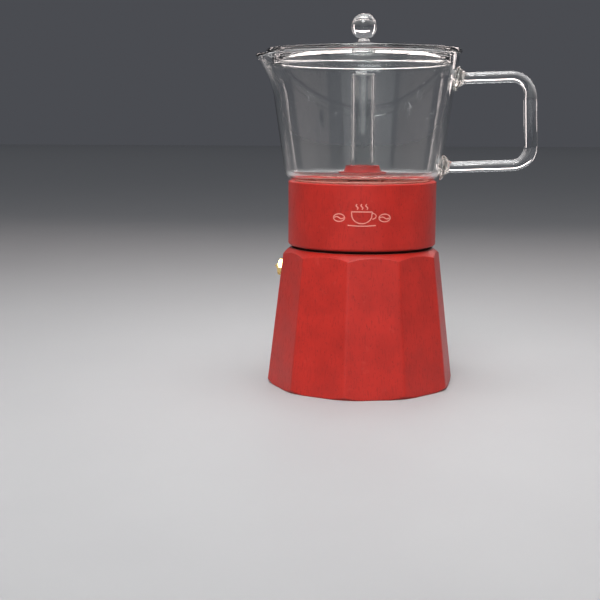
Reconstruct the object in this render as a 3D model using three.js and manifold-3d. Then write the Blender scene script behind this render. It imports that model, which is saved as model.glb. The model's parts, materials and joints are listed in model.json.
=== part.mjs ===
// Stovetop moka pot with a glass top: a faceted aluminium boiler, a screwed collar, a funnel with its
// coffee basket, and a borosilicate jug with a glass column, a rod handle and a loose lid.
// Millimetres, +Z up. The origin is the centre of the boiler's flat underside, and the handle points to +X.

import * as THREE from "three";
import { mergeVertices } from "three/addons/utils/BufferGeometryUtils.js";
import Module from "manifold-3d";

// ---------------------------------------------------------------- driving dimensions

// Boiler: a ten-sided taper with a round threaded neck.
const boilerSides = 10;
const boilerCornerAngle = 9; // degrees from +X to the first corner
const boilerFootRadius = 50.2; // to a corner, at the underside
const boilerHeight = 72.4; // underside to shoulder
const shoulderOverhang = 2.6; // how far a corner stands outside the collar, at the shoulder
const shoulderInset = 1.5; // flat top of the shoulder ends this far inside the collar's side
const shoulderBevelSlope = 0.78; // drop of the turned bevel for each millimetre outwards
const footConeInset = 2.2; // turned cone that trims the corners at the underside
const boilerWall = 3.3;
const boilerFloor = 3.6;
const boilerCavityRound = 7;
const neckBoreRadius = 31;
const neckWall = 2.4;
const neckHeight = 11.8;

// Screw thread between neck and collar.
const threadPitch = 3.2;
const threadDepth = 1.4;
const threadRootWidth = 1.5;
const threadCrestWidth = 0.7;
const threadClearance = 0.4;
const threadTurns = 1.3;
const threadBelowRim = 2.5; // from the neck's rim down to the thread's top end

// Funnel: flange, basket, cone and stem, pressed from one sheet.
const funnelSheet = 0.9;
const funnelFlange = 1;
const funnelFlangeInset = 0.5;
const basketClearance = 0.5;
const basketDepth = 22.5;
const basketLedge = 2.4;
const funnelConeHeight = 10;
const stemRadius = 5.2;
const stemFloorGap = 3.2;
const sieveSheet = 0.7;
const sieveHoleRadius = 0.75;
const sieveHolePitch = 9.4;
const sieveRings = 2;

// Gasket and filter plate under the collar.
const gasketThickness = 3.8;
const gasketWidth = 6.6;
const gasketBoreClearance = 0.7;
const plateSheet = 0.7;
const plateRim = 3.2;
const plateDish = 2.2;
const plateHoleRadius = 0.75;
const plateHolePitch = 7.6;
const plateRings = 3;

// Collar: outer ring, top plate, threaded spigot and the hub that holds the glass column.
const collarGap = 1.3; // shoulder to collar when screwed down
const collarWall = 3.5;
const collarHeight = 33.4;
const collarBottomBevel = 1;
const collarTopBevel = 0.5;
const collarPlate = 3.5;
const collarLedge = 7.3;
const collarDomeRound = 4;
const hubRadius = 9.6;
const hubDrop = 4.1;
const spigotWall = 1;
const spigotHeight = 6;
const columnStopDepth = 5.6; // how deep the column's seat is sunk below the collar's top
const columnStop = 1.9;

// Glass column.
const columnRadius = 6.3;
const columnWall = 1.8;
const columnClearance = 0.3;
const columnBelowRim = 10;

// Jug.
const jugSealThickness = 1;
const jugSealInset = 3.5;
const jugSealWidth = 7.3;
const jugWall = 2.4;
const jugFlatInset = 3; // jug's flat foot ends this far inside the collar's side
const jugCornerRadius = 5.2;
const jugTaper = 8.3; // degrees from the axis
const jugHeight = 64.4;
const jugHoleClearance = 0.5;
const spoutReach = 7;
const spoutHalfAngle = 26; // degrees
const spoutHeight = 20;

// Clamp nut that holds the jug, with its washer and the column's sealing ring.
const nutWasherThickness = 0.8;
const nutWasherOverlap = 4.2;
const nutHeight = 4.1;
const nutTopWall = 1;
const nutFlareWidth = 3.7;
const nutLip = 1.1;
const nutClearance = 0.3;
const sealRingSection = 0.55;

// Rod handle.
const handleReach = 87.6; // axis to the centre of the grip, at its lower end
const handleLean = 0.04; // the grip leans this much towards the jug for each millimetre upwards
const handleArmRise = 0.035;
const handleLowerArm = 6.2; // above the jug's foot
const handleUpperArm = 12.5; // below the jug's rim
const handleBend = 9.5;
const handleArmRadius = 2.9;
const handleGripRadius = 3.5;
const handlePadRadius = 4.6;
const handlePadLength = 4.5;
const handleGap = 0.3;

// Lid.
const lidOverhang = 1.1;
const lidSheet = 2.2;
const lidCrown = 3;
const lidSkirtDepth = 6;
const lidSkirtClearance = 0.9;
const knobNeckRadius = 3;
const knobNeckHeight = 2.6;
const knobRadius = 6.6;

// Safety valve, screwed square into one facet of the boiler.
const valveFacetAngle = 171; // degrees from +X
const valveDrop = 12.2; // below the shoulder
const valveHexWidth = 8.6;
const valveHexHeight = 3;
const valveWasher = 0.8;
const valveWasherRadius = 4.1;
const valveShankRadius = 2.9;
const valveShankInside = 4;
const valveBoreRadius = 1.9;
const valveSeatRadius = 0.9;
const valveSeatDepth = 1.4;
const valveCapRadius = 1.6;
const valveCapNose = 1.2;
const valvePinRadius = 0.6;
const valvePinHeadRadius = 1.5;
const valvePinHeadHeight = 1.2;
const valvePinProud = 0.8;
const valveSpringWire = 0.22;
const valveSpringTurns = 6;
const valveClearance = 0.3;

const ringSegments = 40;
const smallSegments = 20;

// ---------------------------------------------------------------- derived sizes

const neckRootRadius = neckBoreRadius + neckWall;
const neckCrestRadius = neckRootRadius + threadDepth;
const collarBoreRadius = neckCrestRadius + threadClearance + 0.1;
const collarRadius = collarBoreRadius + collarWall;
const rimZ = boilerHeight + neckHeight;
const flangeTopZ = rimZ + funnelFlange;
const ledgeZ = flangeTopZ + gasketThickness;
const collarBottomZ = boilerHeight + collarGap;
const collarTopZ = collarBottomZ + collarHeight;
const boilerShoulderRadius = collarRadius + shoulderOverhang;
const cosHalfFacet = Math.cos(Math.PI / boilerSides);
const boilerSlope = (boilerFootRadius - boilerShoulderRadius) / boilerHeight;
const boilerCorner = (z) => boilerFootRadius - boilerSlope * z;
const boilerApothem = (z) => boilerCorner(z) * cosHalfFacet;
const columnBoreRadius = columnRadius - columnWall;
const columnSeatRadius = columnRadius + columnClearance;
const spigotRadius = columnSeatRadius + spigotWall;
const spigotTopZ = collarTopZ + spigotHeight;
const columnBottomZ = collarTopZ - columnStopDepth;
const jugFootZ = collarTopZ + jugSealThickness;
const jugFloorZ = jugFootZ + jugWall;
const jugRimZ = jugFootZ + jugHeight;
const jugFlatRadius = collarRadius - jugFlatInset;
const jugHoleRadius = spigotRadius + jugHoleClearance;
const jugTaperRad = THREE.MathUtils.degToRad(jugTaper);
const jugWallStart = new THREE.Vector2(
  jugFlatRadius + jugCornerRadius * Math.cos(jugTaperRad),
  jugFootZ + jugCornerRadius * (1 - Math.sin(jugTaperRad)),
);
const jugOuter = (z) => jugWallStart.x + Math.tan(jugTaperRad) * (z - jugWallStart.y);
const jugInner = (z) => jugOuter(z) - jugWall / Math.cos(jugTaperRad);
const nutBottomZ = jugFloorZ + nutWasherThickness;
const nutTopZ = nutBottomZ + nutHeight;
const nutBoreRadius = spigotRadius + nutClearance;
const nutTopRadius = nutBoreRadius + nutTopWall;

// ---------------------------------------------------------------- geometry helpers

const wasm = await Module();
wasm.setup();

const v2 = (x, y) => new THREE.Vector2(x, y);

function arc(centreR, centreZ, radius, fromDegrees, toDegrees, steps) {
  const points = [];
  for (let i = 0; i <= steps; i++) {
    const a = THREE.MathUtils.degToRad(fromDegrees + ((toDegrees - fromDegrees) * i) / steps);
    points.push(v2(centreR + radius * Math.cos(a), centreZ + radius * Math.sin(a)));
  }
  return points;
}

// A solid of revolution about +Z. A profile that stays off the axis is closed into a ring.
function revolve(profile, segments = ringSegments, startAngle = 0) {
  const points = [...profile];
  const onAxis = points[0].x === 0 && points[points.length - 1].x === 0;
  let area = 0;
  points.forEach((p, i) => {
    const q = points[(i + 1) % points.length];
    area += p.x * q.y - q.x * p.y;
  });
  if (area < 0) points.reverse();
  if (!onAxis) points.push(points[0].clone());
  return new THREE.LatheGeometry(points, segments, startAngle).rotateX(Math.PI / 2);
}

function toSolid(geometry) {
  const bare = geometry.index ? geometry.toNonIndexed() : geometry.clone();
  bare.deleteAttribute("normal");
  bare.deleteAttribute("uv");
  const merged = mergeVertices(bare, 1e-4);
  const mesh = new wasm.Mesh({
    numProp: 3,
    vertProperties: merged.attributes.position.array,
    triVerts: new Uint32Array(merged.index.array),
  });
  return new wasm.Manifold(mesh);
}

function toGeometry(solid) {
  const mesh = solid.getMesh();
  return new THREE.BufferGeometry()
    .setAttribute("position", new THREE.BufferAttribute(new Float32Array(mesh.vertProperties), 3))
    .setIndex(new THREE.BufferAttribute(new Uint32Array(mesh.triVerts), 1));
}

// A closed tube through rings of points: each ring has the same number of points, and both ends are capped.
function loft(rings) {
  const sides = rings[0].length;
  const positions = rings.flat().flatMap((p) => [p.x, p.y, p.z]);
  const index = [];
  for (let i = 0; i + 1 < rings.length; i++) {
    for (let j = 0; j < sides; j++) {
      const a = i * sides + j;
      const b = i * sides + ((j + 1) % sides);
      index.push(a, b, a + sides, b, b + sides, a + sides);
    }
  }
  const last = (rings.length - 1) * sides;
  for (let j = 1; j + 1 < sides; j++) {
    index.push(0, j + 1, j);
    index.push(last, last + j, last + j + 1);
  }
  return new THREE.BufferGeometry()
    .setAttribute("position", new THREE.Float32BufferAttribute(positions, 3))
    .setIndex(index);
}

// One ridge of a right-hand thread. It stands on rootRadius and reaches crestRadius, which is larger on
// an outside thread and smaller on an inside one, and both of its ends fade into the root.
function threadRidge(rootRadius, crestRadius, bottomZ) {
  const embed = 0.5 * Math.sign(rootRadius - crestRadius);
  const stepsPerTurn = ringSegments;
  const steps = Math.round(threadTurns * stepsPerTurn);
  const fade = 3;
  const rings = [];
  for (let i = 0; i <= steps; i++) {
    const angle = (i / stepsPerTurn) * 2 * Math.PI;
    const grown = Math.min(1, (i + 0.5) / fade, (steps - i + 0.5) / fade);
    const crest = rootRadius + (crestRadius - rootRadius) * grown;
    const z = bottomZ + threadRootWidth / 2 + (threadPitch * angle) / (2 * Math.PI);
    const section = [
      v2(rootRadius + embed, -threadRootWidth / 2),
      v2(crest, -threadCrestWidth / 2),
      v2(crest, threadCrestWidth / 2),
      v2(rootRadius + embed, threadRootWidth / 2),
    ];
    if (crestRadius > rootRadius) section.reverse();
    rings.push(
      section.map((p) => new THREE.Vector3(p.x * Math.cos(angle), p.x * Math.sin(angle), z + p.y)),
    );
  }
  return loft(rings);
}

// Hexagonal pattern of drilled holes: ring n holds 6n holes.
function drilled(solid, rings, pitch, holeRadius, z) {
  let result = solid;
  for (let ring = 0; ring <= rings; ring++) {
    const count = Math.max(1, 6 * ring);
    for (let i = 0; i < count; i++) {
      const angle = (i / count) * 2 * Math.PI;
      const hole = new THREE.CylinderGeometry(holeRadius, holeRadius, 6, 6)
        .rotateX(Math.PI / 2)
        .translate(ring * pitch * Math.cos(angle), ring * pitch * Math.sin(angle), z);
      result = result.subtract(toSolid(hole));
    }
  }
  return result;
}

const finish = (color, roughness, metalness) =>
  new THREE.MeshStandardMaterial({ color, roughness, metalness });
const redEnamel = finish(0xb8352f, 0.45, 0.1);
const bareAluminium = finish(0xbfc1c4, 0.35, 1);
const steel = finish(0xc8c8c6, 0.25, 1);
const brass = finish(0xd8b45a, 0.22, 1);
const silicone = finish(0xe9e4de, 0.6, 0);
const clearGlass = new THREE.MeshStandardMaterial({
  color: 0xe8eef0,
  roughness: 0.05,
  metalness: 0,
  transparent: true,
  opacity: 0.3,
});

const mokaPot = new THREE.Group();

function place(name, geometry, material, parent = mokaPot) {
  const mesh = new THREE.Mesh(geometry, material);
  mesh.name = name;
  parent.add(mesh);
}

// ---------------------------------------------------------------- boiler

const valveZ = boilerHeight - valveDrop;
const valveTilt = Math.atan(boilerSlope * cosHalfFacet);

// The valve's own frame: its +Z runs out of the facet, square to it, from the facet's surface.
const valveFrame = new THREE.Group();
valveFrame.rotation.set(0, Math.PI / 2 - valveTilt, THREE.MathUtils.degToRad(valveFacetAngle), "ZYX");
valveFrame.position
  .set(boilerApothem(valveZ), 0, valveZ)
  .applyAxisAngle(new THREE.Vector3(0, 0, 1), THREE.MathUtils.degToRad(valveFacetAngle));
valveFrame.updateMatrix();
mokaPot.add(valveFrame);

function boilerGeometry() {
  // A lathe with one segment for each facet makes the taper; its vertices are its corners.
  const taper = revolve(
    [v2(0, 0), v2(boilerFootRadius, 0), v2(boilerShoulderRadius, boilerHeight), v2(0, boilerHeight)],
    boilerSides,
    THREE.MathUtils.degToRad(90 + boilerCornerAngle),
  );
  // The turned envelope trims the corners at the foot and at the shoulder.
  const envelopeRadius = boilerFootRadius + 2;
  const footRadius = boilerFootRadius - footConeInset;
  const bevelInner = collarRadius - shoulderInset;
  const envelope = revolve([
    v2(0, 0),
    v2(footRadius, 0),
    v2(envelopeRadius, envelopeRadius - footRadius),
    v2(envelopeRadius, boilerHeight - shoulderBevelSlope * (envelopeRadius - bevelInner)),
    v2(bevelInner, boilerHeight),
    v2(0, boilerHeight),
  ]);
  const neck = revolve([
    v2(0, boilerHeight - 4),
    v2(neckRootRadius, boilerHeight - 4),
    v2(neckRootRadius, rimZ - 0.4),
    v2(neckRootRadius - 0.4, rimZ),
    v2(0, rimZ),
  ]);
  const cavityTopZ = boilerHeight - 2 * boilerWall;
  const cavityFoot = boilerApothem(boilerFloor) - boilerWall;
  const cavity = revolve([
    v2(0, boilerFloor),
    ...arc(
      cavityFoot - boilerCavityRound,
      boilerFloor + boilerCavityRound,
      boilerCavityRound,
      -90,
      0,
      3,
    ),
    v2(boilerApothem(cavityTopZ) - boilerWall, cavityTopZ),
    v2(neckBoreRadius, boilerHeight - 1),
    v2(neckBoreRadius, rimZ + 1),
    v2(0, rimZ + 1),
  ]);
  const valveHole = new THREE.CylinderGeometry(
    valveShankRadius + valveClearance,
    valveShankRadius + valveClearance,
    4 * boilerWall,
    smallSegments,
  )
    .rotateX(Math.PI / 2)
    .applyMatrix4(valveFrame.matrix);
  const threadBottomZ =
    rimZ - threadBelowRim - threadRootWidth - threadPitch * threadTurns;
  return toGeometry(
    toSolid(taper)
      .intersect(toSolid(envelope))
      .add(toSolid(neck))
      .add(toSolid(threadRidge(neckRootRadius, neckCrestRadius, threadBottomZ)))
      .subtract(toSolid(cavity))
      .subtract(toSolid(valveHole)),
  );
}

place("boiler", boilerGeometry(), redEnamel);

// ---------------------------------------------------------------- safety valve, in its own frame

const valveWasherBottom = valveClearance;
const valveHexBottom = valveWasherBottom + valveWasher;
const valveHexTop = valveHexBottom + valveHexHeight;
const valveShankBottom = -(boilerWall + valveShankInside);
const valveSeatTop = valveShankBottom + valveSeatDepth;
const valveCapTop = valveHexTop + valveCapNose;
const valvePinHeadBottom = valveSeatTop + valveClearance / 2;
const valvePinHeadTop = valvePinHeadBottom + valvePinHeadHeight;
const valveCapBottom = valveHexTop - 1;

function valveBodyGeometry() {
  const hexCorner = valveHexWidth / 2 / Math.cos(Math.PI / 6);
  const hex = new THREE.CylinderGeometry(hexCorner, hexCorner, valveHexHeight, 6)
    .rotateX(Math.PI / 2)
    .translate(0, 0, (valveHexBottom + valveHexTop) / 2);
  const chamfer = revolve(
    [
      v2(0, valveHexBottom),
      v2(hexCorner + 1, valveHexBottom),
      v2(hexCorner + 1, valveHexTop - 1.2),
      v2(hexCorner - 0.8, valveHexTop),
      v2(0, valveHexTop),
    ],
    smallSegments,
  );
  const shank = revolve(
    [
      v2(0, valveShankBottom),
      v2(valveShankRadius - 0.4, valveShankBottom),
      v2(valveShankRadius, valveShankBottom + 0.4),
      v2(valveShankRadius, valveHexBottom + 0.5),
      v2(0, valveHexBottom + 0.5),
    ],
    smallSegments,
  );
  const bore = revolve(
    [
      v2(0, valveShankBottom - 1),
      v2(valveSeatRadius, valveShankBottom - 1),
      v2(valveSeatRadius, valveSeatTop),
      v2(valveBoreRadius, valveSeatTop),
      v2(valveBoreRadius, valveHexTop + 1),
      v2(0, valveHexTop + 1),
    ],
    16,
  );
  return toGeometry(
    toSolid(hex).intersect(toSolid(chamfer)).add(toSolid(shank)).subtract(toSolid(bore)),
  );
}

function valveWasherGeometry() {
  const inner = valveShankRadius + valveClearance / 2;
  return revolve(
    [
      v2(inner, valveWasherBottom),
      v2(valveWasherRadius, valveWasherBottom),
      v2(valveWasherRadius, valveHexBottom),
      v2(inner, valveHexBottom),
    ],
    smallSegments,
  );
}

// The cap closes the valve's bore round the pin and keeps the spring in.
function valveCapGeometry() {
  const plug = valveBoreRadius - valveClearance / 2;
  const hole = valvePinRadius + valveClearance / 2;
  return revolve(
    [
      v2(hole, valveCapBottom),
      v2(plug, valveCapBottom),
      v2(plug, valveHexTop),
      v2(valveCapRadius, valveHexTop),
      v2(valveCapRadius, valveCapTop - 0.3),
      v2(valveCapRadius - 0.3, valveCapTop),
      v2(hole, valveCapTop),
    ],
    16,
  );
}

function valvePinGeometry() {
  const top = valveCapTop + valvePinProud;
  return revolve(
    [
      v2(0, valvePinHeadBottom),
      v2(valveSeatRadius, valvePinHeadBottom),
      v2(valvePinHeadRadius, valvePinHeadBottom + valvePinHeadHeight / 2),
      v2(valvePinHeadRadius, valvePinHeadTop),
      v2(valvePinRadius, valvePinHeadTop),
      v2(valvePinRadius, top - 0.25),
      v2(valvePinRadius - 0.25, top),
      v2(0, top),
    ],
    12,
  );
}

function valveSpringGeometry() {
  const low = valvePinHeadTop + valveSpringWire + 0.1;
  const high = valveCapBottom - valveSpringWire - 0.1;
  const coilRadius = (valvePinRadius + valveBoreRadius) / 2;
  const stepsPerTurn = 8;
  const steps = valveSpringTurns * stepsPerTurn;
  const sides = 4;
  const rings = [];
  for (let i = 0; i <= steps; i++) {
    const angle = (i / stepsPerTurn) * 2 * Math.PI;
    const ring = [];
    for (let j = 0; j < sides; j++) {
      const around = (j / sides) * 2 * Math.PI;
      const r = coilRadius + valveSpringWire * Math.cos(around);
      const z = low + ((high - low) * i) / steps + valveSpringWire * Math.sin(around);
      ring.push(new THREE.Vector3(r * Math.cos(angle), r * Math.sin(angle), z));
    }
    rings.push(ring.reverse());
  }
  return loft(rings);
}

place("valve_body", valveBodyGeometry(), brass, valveFrame);
place("valve_washer", valveWasherGeometry(), silicone, valveFrame);
place("valve_cap", valveCapGeometry(), brass, valveFrame);
place("valve_pin", valvePinGeometry(), brass, valveFrame);
place("valve_spring", valveSpringGeometry(), steel, valveFrame);

// ---------------------------------------------------------------- funnel and its sieve

const basketOuter = neckBoreRadius - basketClearance;
const basketInner = basketOuter - funnelSheet;
const basketFloorZ = flangeTopZ - basketDepth;
const coneFootZ = basketFloorZ - funnelConeHeight;
const stemFootZ = boilerFloor + stemFloorGap;

function funnelGeometry() {
  const ledgeRadius = basketInner - basketLedge;
  return revolve([
    v2(neckRootRadius - funnelFlangeInset, rimZ),
    v2(neckRootRadius - funnelFlangeInset, flangeTopZ),
    v2(basketInner, flangeTopZ),
    v2(basketInner, basketFloorZ),
    v2(ledgeRadius, basketFloorZ),
    v2(stemRadius - funnelSheet, coneFootZ),
    v2(stemRadius - funnelSheet, stemFootZ),
    v2(stemRadius, stemFootZ),
    v2(stemRadius, coneFootZ - funnelSheet),
    v2(ledgeRadius, basketFloorZ - funnelSheet),
    v2(basketOuter, basketFloorZ - funnelSheet),
    v2(basketOuter, rimZ),
  ]);
}

function sieveGeometry() {
  const disc = revolve([
    v2(0, basketFloorZ),
    v2(basketInner - basketClearance / 2, basketFloorZ),
    v2(basketInner - basketClearance / 2, basketFloorZ + sieveSheet),
    v2(0, basketFloorZ + sieveSheet),
  ]);
  return toGeometry(
    drilled(toSolid(disc), sieveRings, sieveHolePitch, sieveHoleRadius, basketFloorZ),
  );
}

place("funnel", funnelGeometry(), bareAluminium);
place("funnel_sieve", sieveGeometry(), bareAluminium);

// ---------------------------------------------------------------- gasket and filter plate

const gasketOuter = collarBoreRadius - gasketBoreClearance;
const gasketInner = gasketOuter - gasketWidth;
const plateRadius = gasketInner + plateRim;

function gasketGeometry() {
  const step = plateRadius + 0.3;
  return revolve([
    v2(gasketInner, flangeTopZ),
    v2(gasketOuter, flangeTopZ),
    v2(gasketOuter, ledgeZ),
    v2(step, ledgeZ),
    v2(step, ledgeZ - plateSheet - 0.1),
    v2(gasketInner, ledgeZ - plateSheet - 0.1),
  ]);
}

function filterPlateGeometry() {
  const top = ledgeZ;
  const under = ledgeZ - plateSheet;
  const bend = gasketInner - 0.4;
  const disc = revolve([
    v2(0, under - plateDish),
    v2(bend - plateSheet, under - plateDish),
    v2(bend, under),
    v2(plateRadius, under),
    v2(plateRadius, top),
    v2(bend - plateSheet, top),
    v2(bend - 2 * plateSheet, top - plateDish),
    v2(0, top - plateDish),
  ]);
  return toGeometry(
    drilled(toSolid(disc), plateRings, plateHolePitch, plateHoleRadius, top - plateDish),
  );
}

place("gasket", gasketGeometry(), silicone);
place("filter_plate", filterPlateGeometry(), bareAluminium);

// ---------------------------------------------------------------- collar

function collarGeometry() {
  const chamberRadius = collarBoreRadius - collarLedge;
  const chamberTopZ = collarTopZ - collarPlate;
  const body = revolve([
    v2(collarBoreRadius + 0.9, collarBottomZ),
    v2(collarRadius - collarBottomBevel, collarBottomZ),
    v2(collarRadius, collarBottomZ + collarBottomBevel),
    v2(collarRadius, collarTopZ - collarTopBevel),
    v2(collarRadius - collarTopBevel, collarTopZ),
    v2(spigotRadius, collarTopZ),
    v2(spigotRadius, spigotTopZ),
    v2(columnSeatRadius, spigotTopZ),
    v2(columnSeatRadius, columnBottomZ),
    v2(columnBoreRadius + 0.2, columnBottomZ),
    v2(columnBoreRadius + 0.2, columnBottomZ - columnStop),
    v2(hubRadius, columnBottomZ - columnStop),
    v2(hubRadius, columnBottomZ - columnStop + hubDrop - 2),
    v2(hubRadius + 2, chamberTopZ),
    ...arc(
      chamberRadius - collarDomeRound,
      chamberTopZ - collarDomeRound,
      collarDomeRound,
      90,
      0,
      3,
    ),
    v2(chamberRadius, ledgeZ),
    v2(collarBoreRadius, ledgeZ),
    v2(collarBoreRadius, collarBottomZ + 0.9),
  ]);
  const ridgeBottomZ =
    rimZ - threadBelowRim - threadRootWidth - threadPitch * threadTurns - threadPitch / 2;
  const ridge = threadRidge(collarBoreRadius, neckRootRadius + threadClearance, ridgeBottomZ);
  return toGeometry(toSolid(body).add(toSolid(ridge)));
}

place("collar", collarGeometry(), redEnamel);

// ---------------------------------------------------------------- glass column

const columnTopZ = jugRimZ - columnBelowRim;

function columnGeometry() {
  const round = columnWall / 2;
  return revolve(
    [
      v2(columnBoreRadius, columnBottomZ),
      v2(columnRadius, columnBottomZ),
      ...arc(columnRadius - round, columnTopZ - round, round, 0, 180, 4),
    ],
    smallSegments,
  );
}

place("column_tube", columnGeometry(), clearGlass);

// ---------------------------------------------------------------- jug and its seal

function jugSealGeometry() {
  const outer = collarRadius - jugSealInset;
  return revolve([
    v2(outer - jugSealWidth, collarTopZ),
    v2(outer, collarTopZ),
    v2(outer, jugFootZ),
    v2(outer - jugSealWidth, jugFootZ),
  ]);
}

// How far the spout pushes the wall outwards at one place: it grows towards the rim and towards its middle.
function spoutPush(x, y, z) {
  const off = Math.abs(Math.atan2(y, -x)) / THREE.MathUtils.degToRad(spoutHalfAngle);
  const up = (z - (jugRimZ - spoutHeight)) / spoutHeight;
  if (off >= 1 || up <= 0) return 0;
  return spoutReach * Math.cos((off * Math.PI) / 2) ** 2 * Math.min(1, up) ** 1.6;
}

function jugGeometry() {
  const cornerZ = jugFootZ + jugCornerRadius;
  const bead = jugWall / 2;
  const rimMid = (jugOuter(jugRimZ - bead) + jugInner(jugRimZ - bead)) / 2;
  const wallStops = [0.72, 0.82, 0.9, 0.96];
  const wallZ = wallStops.map((t) => jugWallStart.y + t * (jugRimZ - jugWallStart.y));
  const geometry = revolve([
    v2(jugHoleRadius, jugFootZ),
    ...arc(jugFlatRadius, cornerZ, jugCornerRadius, -90, -jugTaper, 3),
    ...wallZ.map((z) => v2(jugOuter(z), z)),
    ...arc(rimMid, jugRimZ - bead, bead, 0, 180, 4),
    ...[...wallZ].reverse().map((z) => v2(jugInner(z), z)),
    ...arc(jugFlatRadius, cornerZ, jugCornerRadius - jugWall, -jugTaper, -90, 3),
    v2(jugHoleRadius, jugFloorZ),
  ]);
  const position = geometry.attributes.position;
  const p = new THREE.Vector3();
  for (let i = 0; i < position.count; i++) {
    p.fromBufferAttribute(position, i);
    const radius = Math.hypot(p.x, p.y);
    const grown = (radius + spoutPush(p.x, p.y, p.z)) / radius;
    position.setXYZ(i, p.x * grown, p.y * grown, p.z);
  }
  return geometry;
}

place("jug_seal", jugSealGeometry(), silicone);
place("jug", jugGeometry(), clearGlass);

// ---------------------------------------------------------------- clamp nut, washer and sealing ring

function nutWasherGeometry() {
  return revolve(
    [
      v2(nutBoreRadius, jugFloorZ),
      v2(nutBoreRadius + nutWasherOverlap, jugFloorZ),
      v2(nutBoreRadius + nutWasherOverlap, nutBottomZ),
      v2(nutBoreRadius, nutBottomZ),
    ],
    smallSegments,
  );
}

function clampNutGeometry() {
  const flareRadius = nutTopRadius + nutFlareWidth;
  const sweep = new THREE.QuadraticBezierCurve(
    v2(flareRadius, nutBottomZ + 0.5),
    v2(nutTopRadius + 0.3, nutBottomZ + 0.6),
    v2(nutTopRadius, nutTopZ - 0.5),
  );
  return revolve(
    [
      v2(nutBoreRadius, nutBottomZ),
      v2(flareRadius, nutBottomZ),
      ...sweep.getPoints(4),
      v2(nutTopRadius - 0.5, nutTopZ),
      v2(columnSeatRadius, nutTopZ),
      v2(columnSeatRadius, nutTopZ - nutLip),
      v2(nutBoreRadius, nutTopZ - nutLip),
    ],
    smallSegments,
  );
}

function sealRingGeometry() {
  const middle = columnRadius + 0.15 + sealRingSection;
  const profile = arc(middle, spigotTopZ + sealRingSection, sealRingSection, -90, 225, 7);
  return revolve(profile, smallSegments);
}

place("nut_washer", nutWasherGeometry(), silicone);
place("clamp_nut", clampNutGeometry(), redEnamel);
place("column_seal_ring", sealRingGeometry(), silicone);

// ---------------------------------------------------------------- rod handle

function handleGeometry() {
  const lowerZ = jugFootZ + handleLowerArm;
  const upperZ = jugRimZ - handleUpperArm;
  const gripX = (z) => handleReach - handleLean * (z - lowerZ);
  const armZ = (x, wallZ) => wallZ + handleArmRise * (x - jugOuter(wallZ));
  const at = (x, z) => new THREE.Vector3(x, 0, z);
  const lowerCorner = at(gripX(lowerZ), armZ(gripX(lowerZ), lowerZ));
  const upperCorner = at(gripX(upperZ), armZ(gripX(upperZ), upperZ));
  const lowerWall = at(jugOuter(lowerZ) - jugWall / 2, lowerZ);
  const upperWall = at(jugOuter(upperZ) - jugWall / 2, upperZ);
  const back = (corner, towards) =>
    corner.clone().add(towards.clone().sub(corner).setLength(handleBend));
  const path = new THREE.CurvePath();
  const lowerIn = back(lowerCorner, lowerWall);
  const lowerOut = back(lowerCorner, upperCorner);
  const upperIn = back(upperCorner, lowerCorner);
  const upperOut = back(upperCorner, upperWall);
  path.add(new THREE.LineCurve3(lowerWall, lowerIn));
  path.add(new THREE.QuadraticBezierCurve3(lowerIn, lowerCorner, lowerOut));
  path.add(new THREE.LineCurve3(lowerOut, upperIn));
  path.add(new THREE.QuadraticBezierCurve3(upperIn, upperCorner, upperOut));
  path.add(new THREE.LineCurve3(upperOut, upperWall));

  const total = path.getLength();
  const arm = lowerWall.distanceTo(lowerIn);
  const steps = 32;
  const sides = 10;
  const rings = [];
  for (let i = 0; i <= steps; i++) {
    const run = (i / steps) * total;
    const fromEnd = Math.min(run, total - run);
    const point = path.getPointAt(i / steps);
    const tangent = path.getTangentAt(i / steps);
    const across = new THREE.Vector3(tangent.z, 0, -tangent.x);
    const pad = Math.max(0, 1 - fromEnd / (handlePadLength + jugWall));
    const grip = THREE.MathUtils.smoothstep(fromEnd, arm, arm + handleBend);
    const radius =
      handleArmRadius +
      (handleGripRadius - handleArmRadius) * grip +
      (handlePadRadius - handleArmRadius) * pad ** 1.5;
    const ring = [];
    for (let j = 0; j < sides; j++) {
      const a = (j / sides) * 2 * Math.PI;
      ring.push(
        point
          .clone()
          .addScaledVector(across, radius * Math.cos(a))
          .add(new THREE.Vector3(0, radius * Math.sin(a), 0)),
      );
    }
    rings.push(ring);
  }
  // Both ends are cut to the jug's own taper.
  const wall = revolve([
    v2(0, jugFootZ),
    v2(jugOuter(jugFootZ) + handleGap, jugFootZ),
    v2(jugOuter(jugRimZ) + handleGap, jugRimZ),
    v2(0, jugRimZ),
  ]);
  return toGeometry(toSolid(loft(rings)).subtract(toSolid(wall)));
}

place("jug_handle", handleGeometry(), clearGlass);

// ---------------------------------------------------------------- lid and knob

const lidTopZ = jugRimZ + lidSheet + lidCrown;

function lidGeometry() {
  const radius = jugOuter(jugRimZ) + lidOverhang;
  const skirt = jugInner(jugRimZ - lidSkirtDepth) - lidSkirtClearance;
  const crown = (bottomZ) =>
    new THREE.QuadraticBezierCurve(
      v2(skirt - lidSheet, bottomZ),
      v2(skirt * 0.55, bottomZ + lidCrown),
      v2(0, bottomZ + lidCrown),
    ).getPoints(3);
  return revolve([
    ...crown(jugRimZ).reverse(),
    v2(skirt - lidSheet, jugRimZ - lidSkirtDepth + 0.8),
    v2(skirt - lidSheet / 2, jugRimZ - lidSkirtDepth),
    v2(skirt, jugRimZ - lidSkirtDepth + 0.8),
    v2(skirt, jugRimZ),
    ...arc(radius - lidSheet / 2, jugRimZ + lidSheet / 2, lidSheet / 2, -90, 90, 3),
    v2(skirt, jugRimZ + lidSheet),
    ...crown(jugRimZ + lidSheet),
  ]);
}

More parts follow.
